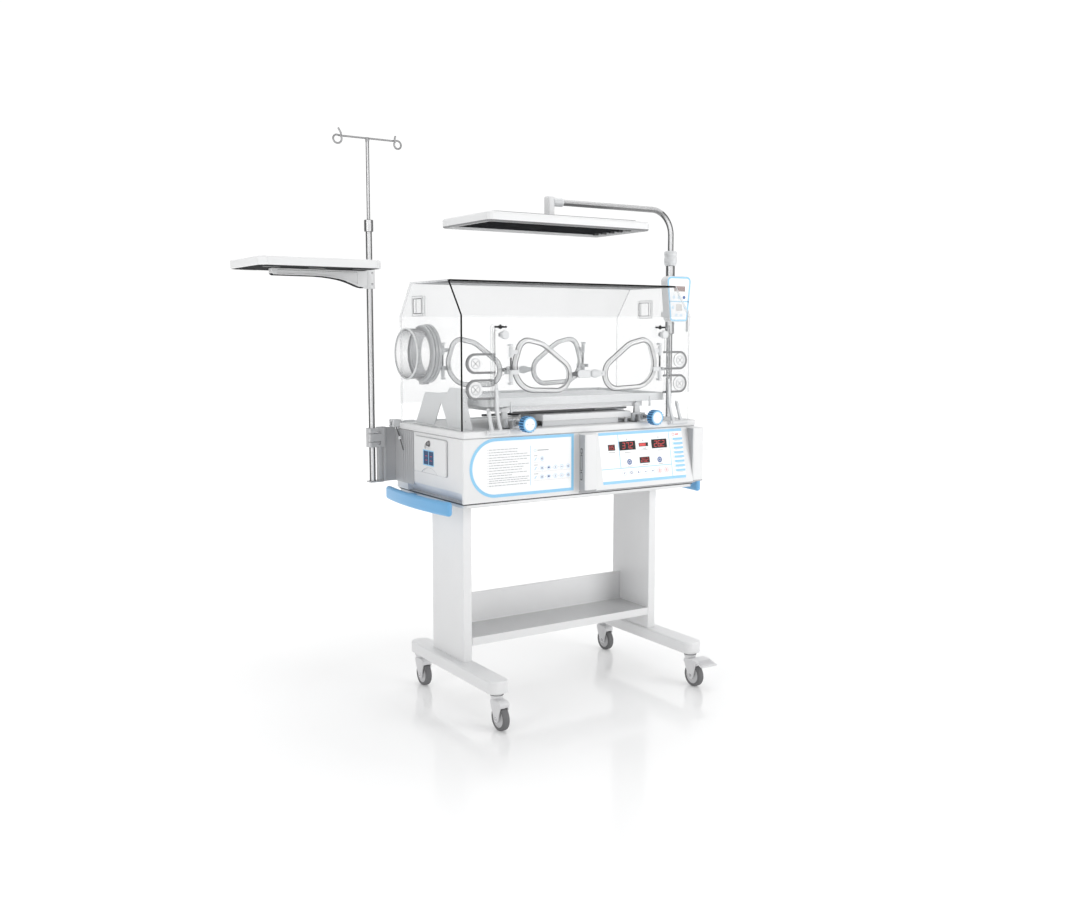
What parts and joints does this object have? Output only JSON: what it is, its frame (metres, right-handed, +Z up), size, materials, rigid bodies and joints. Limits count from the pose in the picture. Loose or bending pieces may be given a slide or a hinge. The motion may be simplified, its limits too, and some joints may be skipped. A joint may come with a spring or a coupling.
{
  "type": "infant incubator",
  "caption": "Closed infant incubator on a wheeled stand, with a clear hinged hood, hand ports, tilting bed, humidity drawer, side pole with hooks and shelf, and an overhead lamp.",
  "frame": {"origin": "on the floor, at the centre of the whole footprint including the side shelf and the lamp pole", "axes": "+Z up, X along the long side with the pole and shelf at -X, -Y towards the control panel"},
  "size_m": [1.599, 0.82, 1.9116],
  "materials": {
    "white_paint": "satin powder coat",
    "white_casing": "fine-grained moulding",
    "base_alloy": "brushed",
    "light_grey": "satin moulding",
    "grey_casing": "satin moulding",
    "dark_grey": "satin moulding",
    "blue_plastic": "semi-gloss moulding",
    "clear_acrylic": "polished clear sheet",
    "smoke_acrylic": "polished translucent moulding",
    "steel": "fine brushed",
    "tyre": "soft grey tread",
    "rubber": "matt",
    "vinyl": "wipe-clean coated cloth"
  },
  "bodies": {
    "stand": {"foot_left": "white_paint", "foot_right": "white_paint", "column_left": "white_paint", "column_right": "white_paint", "storage_shelf": "white_paint", "base_frame": "base_alloy", "cabinet_shell": "white_casing", "deck_tray": "white_casing", "control_module": "white_casing", "handle_left": "blue_plastic", "handle_right": "blue_plastic", "fan_motor": "dark_grey", "heater_element": "steel", "air_baffle": "white_casing", "hinge_block_left": "light_grey", "hinge_block_right": "light_grey", "iv_bracket": "base_alloy", "iv_pole": "steel", "lamp_pole": "steel", "lamp_controller": "white_casing"},
    "caster_fl": {"caster_fork_fl": "light_grey"},
    "wheel_fl": {"caster_wheel_fl": "tyre"},
    "caster_fr": {"caster_fork_fr": "light_grey"},
    "wheel_fr": {"caster_wheel_fr": "tyre"},
    "caster_bl": {"caster_fork_bl": "light_grey"},
    "wheel_bl": {"caster_wheel_bl": "tyre"},
    "caster_br": {"caster_fork_br": "light_grey"},
    "wheel_br": {"caster_wheel_br": "tyre"},
    "pedal": {"brake_pedal": "light_grey"},
    "hood": {"hood_canopy": "clear_acrylic", "hood_end_left": "clear_acrylic", "hood_end_right": "clear_acrylic", "hood_hinge_rod": "steel", "iris_flange": "grey_casing", "tube_grommet_left": "rubber", "tube_grommet_right": "rubber"},
    "iris": {"iris_sleeve": "clear_acrylic"},
    "front_door": {"front_door": "clear_acrylic", "door_hinge_left": "light_grey", "door_hinge_right": "light_grey"},
    "latch_left": {"door_latch_left": "light_grey"},
    "latch_right": {"door_latch_right": "light_grey"},
    "port_fl": {"port_door_fl": "smoke_acrylic"},
    "port_fr": {"port_door_fr": "smoke_acrylic"},
    "port_bl": {"port_door_bl": "smoke_acrylic"},
    "port_br": {"port_door_br": "smoke_acrylic"},
    "bed_frame": {"tilt_frame": "white_casing"},
    "bed_tray": {"mattress_tray": "light_grey", "mattress": "vinyl"},
    "knob_left": {"tilt_knob_left": "blue_plastic"},
    "knob_right": {"tilt_knob_right": "blue_plastic"},
    "drawer": {"humidifier_drawer": "white_casing"},
    "lock": {"drawer_lock": "steel"},
    "hook_rod": {"iv_rod": "steel"},
    "shelf": {"shelf_arm": "white_casing", "monitor_shelf": "white_casing"},
    "lamp_collar": {"lamp_collar": "light_grey"},
    "lamp_mast": {"lamp_mast": "steel"},
    "lamp_head": {"lamp_head": "white_casing"},
    "fan": {"fan_impeller": "light_grey"}
  },
  "joints": [
    {"name": "caster_swivel_fl", "type": "hinge", "parent": "stand", "child": "caster_fl", "pos_m": [-0.2105, -0.305, 0.117], "axis": [0, 0, 1], "continuous": true},
    {"name": "wheel_roll_fl", "type": "hinge", "parent": "caster_fl", "child": "wheel_fl", "pos_m": [-0.2105, -0.328, 0.0404], "axis": [1, 0, 0], "continuous": true},
    {"name": "caster_swivel_fr", "type": "hinge", "parent": "stand", "child": "caster_fr", "pos_m": [0.5895, -0.305, 0.117], "axis": [0, 0, 1], "continuous": true},
    {"name": "wheel_roll_fr", "type": "hinge", "parent": "caster_fr", "child": "wheel_fr", "pos_m": [0.5895, -0.328, 0.0404], "axis": [1, 0, 0], "continuous": true},
    {"name": "caster_swivel_bl", "type": "hinge", "parent": "stand", "child": "caster_bl", "pos_m": [-0.2105, 0.224, 0.117], "axis": [0, 0, 1], "continuous": true},
    {"name": "wheel_roll_bl", "type": "hinge", "parent": "caster_bl", "child": "wheel_bl", "pos_m": [-0.2105, 0.201, 0.0404], "axis": [1, 0, 0], "continuous": true},
    {"name": "caster_swivel_br", "type": "hinge", "parent": "stand", "child": "caster_br", "pos_m": [0.5895, 0.224, 0.117], "axis": [0, 0, 1], "continuous": true},
    {"name": "wheel_roll_br", "type": "hinge", "parent": "caster_br", "child": "wheel_br", "pos_m": [0.5895, 0.201, 0.0404], "axis": [1, 0, 0], "continuous": true},
    {"name": "brake_pedal_rock", "type": "hinge", "parent": "caster_fr", "child": "pedal", "pos_m": [0.5895, -0.361, 0.095], "axis": [1, 0, 0], "range_deg": [0, 14]},
    {"name": "hood_lift", "type": "hinge", "parent": "stand", "child": "hood", "pos_m": [0.1895, 0.2372, 0.934], "axis": [-1, 0, 0], "range_deg": [0, 50]},
    {"name": "iris_turn", "type": "hinge", "parent": "hood", "child": "iris", "pos_m": [-0.3085, 0.011, 1.1785], "axis": [1, 0, 0], "range_deg": [-90, 90]},
    {"name": "front_door_drop", "type": "hinge", "parent": "stand", "child": "front_door", "pos_m": [0.1895, -0.2395, 0.934], "axis": [1, 0, 0], "range_deg": [0, 90]},
    {"name": "door_latch_turn_left", "type": "hinge", "parent": "front_door", "child": "latch_left", "pos_m": [-0.134, -0.2115, 1.24], "axis": [0, 1, 0], "range_deg": [0, 90]},
    {"name": "door_latch_turn_right", "type": "hinge", "parent": "front_door", "child": "latch_right", "pos_m": [0.511, -0.2115, 1.24], "axis": [0, 1, 0], "range_deg": [-90, 0]},
    {"name": "hand_port_swing_fl", "type": "hinge", "parent": "front_door", "child": "port_fl", "pos_m": [-0.106, -0.2235, 1.1465], "axis": [0, 0, -1], "range_deg": [0, 110]},
    {"name": "hand_port_swing_fr", "type": "hinge", "parent": "front_door", "child": "port_fr", "pos_m": [0.5, -0.2235, 1.1465], "axis": [0, 0, 1], "range_deg": [0, 110]},
    {"name": "hand_port_swing_bl", "type": "hinge", "parent": "hood", "child": "port_bl", "pos_m": [-0.106, 0.2385, 1.1465], "axis": [0, 0, 1], "range_deg": [0, 110]},
    {"name": "hand_port_swing_br", "type": "hinge", "parent": "hood", "child": "port_br", "pos_m": [0.5, 0.2385, 1.1465], "axis": [0, 0, -1], "range_deg": [0, 110]},
    {"name": "bed_raise_left", "type": "hinge", "parent": "stand", "child": "bed_frame", "pos_m": [0.4495, 0.011, 0.998], "axis": [0, 1, 0], "range_deg": [0, 12]},
    {"name": "bed_raise_right", "type": "hinge", "parent": "bed_frame", "child": "bed_tray", "pos_m": [-0.0705, 0.011, 0.998], "axis": [0, -1, 0], "range_deg": [0, 12]},
    {"name": "tilt_knob_turn_left", "type": "hinge", "parent": "stand", "child": "knob_left", "pos_m": [-0.0685, -0.2505, 0.957], "axis": [0, 1, 0], "range_deg": [0, 360]},
    {"name": "tilt_knob_turn_right", "type": "hinge", "parent": "stand", "child": "knob_right", "pos_m": [0.4495, -0.2505, 0.957], "axis": [0, 1, 0], "range_deg": [0, 360]},
    {"name": "water_drawer_slide", "type": "slide", "parent": "stand", "child": "drawer", "axis": [-1, 0, 0], "range_m": [0, 0.18]},
    {"name": "drawer_lock_turn", "type": "hinge", "parent": "drawer", "child": "lock", "pos_m": [-0.2929, -0.016, 0.886], "axis": [1, 0, 0], "range_deg": [0, 90]},
    {"name": "hook_rod_slide", "type": "slide", "parent": "stand", "child": "hook_rod", "axis": [0, 0, 1], "range_m": [-0.2, 0.3]},
    {"name": "shelf_swivel", "type": "hinge", "parent": "stand", "child": "shelf", "pos_m": [-0.3755, 0.249, 1.425], "axis": [0, 0, 1], "range_deg": [-40, 40]},
    {"name": "lamp_swivel", "type": "hinge", "parent": "stand", "child": "lamp_collar", "pos_m": [0.7455, 0.021, 1.52], "axis": [0, 0, 1], "range_deg": [-90, 90]},
    {"name": "lamp_height", "type": "slide", "parent": "lamp_collar", "child": "lamp_mast", "axis": [0, 0, 1], "range_m": [-0.05, 0.1]},
    {"name": "lamp_tilt", "type": "hinge", "parent": "lamp_mast", "child": "lamp_head", "pos_m": [0.1995, 0.021, 1.697], "axis": [1, 0, 0], "range_deg": [-30, 30]},
    {"name": "fan_spin", "type": "hinge", "parent": "stand", "child": "fan", "pos_m": [0.2295, 0.041, 0.9389], "axis": [0, 0, 1], "continuous": true}
  ],
  "couplings": [
    {"joint": "tilt_knob_turn_left", "follows": "bed_raise_left", "ratio": 30},
    {"joint": "tilt_knob_turn_right", "follows": "bed_raise_right", "ratio": 30}
  ]
}
